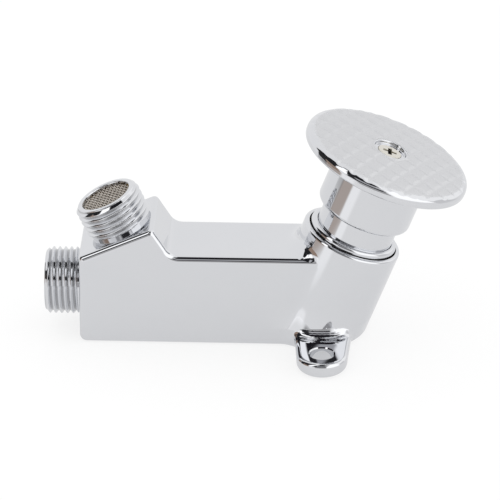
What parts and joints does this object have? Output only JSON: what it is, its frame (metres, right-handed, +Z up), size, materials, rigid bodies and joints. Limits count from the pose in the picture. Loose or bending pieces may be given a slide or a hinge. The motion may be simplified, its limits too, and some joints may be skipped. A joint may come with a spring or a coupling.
{
  "type": "foot pedal valve",
  "caption": "Self-closing foot pedal valve for a floor: chromed arm with threaded inlet and outlet spigots and a leaning barrel, opened by pushing down a round chequered pedal",
  "frame": {"origin": "midway between the two floor-screw holes, on the underside that rests on the floor", "axes": "+X from the pipe end of the arm towards the pedal, +Y to the left seen along +X, +Z up from the floor"},
  "size_m": [0.1296, 0.068, 0.0697],
  "materials": {
    "valve_body": "bright chrome on brass",
    "strainer_mesh": "woven stainless wire",
    "strainer_ring": "turned brass",
    "cartridge": "turned brass",
    "cartridge_lower_ring": "black rubber",
    "cartridge_upper_ring": "black rubber",
    "spindle_lower_seal": "black rubber",
    "spindle_upper_seal": "black rubber",
    "guide_bush": "white acetal",
    "bonnet_gasket": "black fibre-filled rubber",
    "bonnet_ring": "bright chrome on brass",
    "wiper_ring": "black rubber",
    "return_spring": "stainless spring wire",
    "slip_washer": "white acetal",
    "spindle": "turned stainless steel",
    "seal_holder": "turned brass",
    "seat_seal": "black rubber",
    "retaining_clip": "spring steel",
    "push_cap": "bright chrome on brass",
    "pedal_plate": "chromed, with a chequered top",
    "pedal_screw": "stainless steel"
  },
  "bodies": {
    "base": {"valve_body": "valve_body", "strainer_mesh": "strainer_mesh", "strainer_ring": "strainer_ring", "cartridge": "cartridge", "cartridge_lower_ring": "cartridge_lower_ring", "cartridge_upper_ring": "cartridge_upper_ring", "spindle_lower_seal": "spindle_lower_seal", "spindle_upper_seal": "spindle_upper_seal", "guide_bush": "guide_bush", "bonnet_gasket": "bonnet_gasket", "bonnet_ring": "bonnet_ring", "wiper_ring": "wiper_ring", "return_spring": "return_spring"},
    "slider": {"slip_washer": "slip_washer"},
    "plunger": {"push_cap": "push_cap", "pedal_plate": "pedal_plate", "pedal_screw": "pedal_screw", "spindle": "spindle", "seal_holder": "seal_holder", "seat_seal": "seat_seal", "retaining_clip": "retaining_clip"}
  },
  "joints": [
    {"name": "pedal_press", "type": "slide", "parent": "base", "child": "slider", "axis": [-0.3584, 0, -0.9336], "range_m": [0, 0.005], "stiffness_N_per_m": 1170, "springref_m": -0.016, "deforming": ["return_spring"]},
    {"name": "pedal_turn", "type": "hinge", "parent": "slider", "child": "plunger", "pos_m": [0.01407, 0, 0.04668], "axis": [0.3584, 0, 0.9336], "continuous": true}
  ]
}
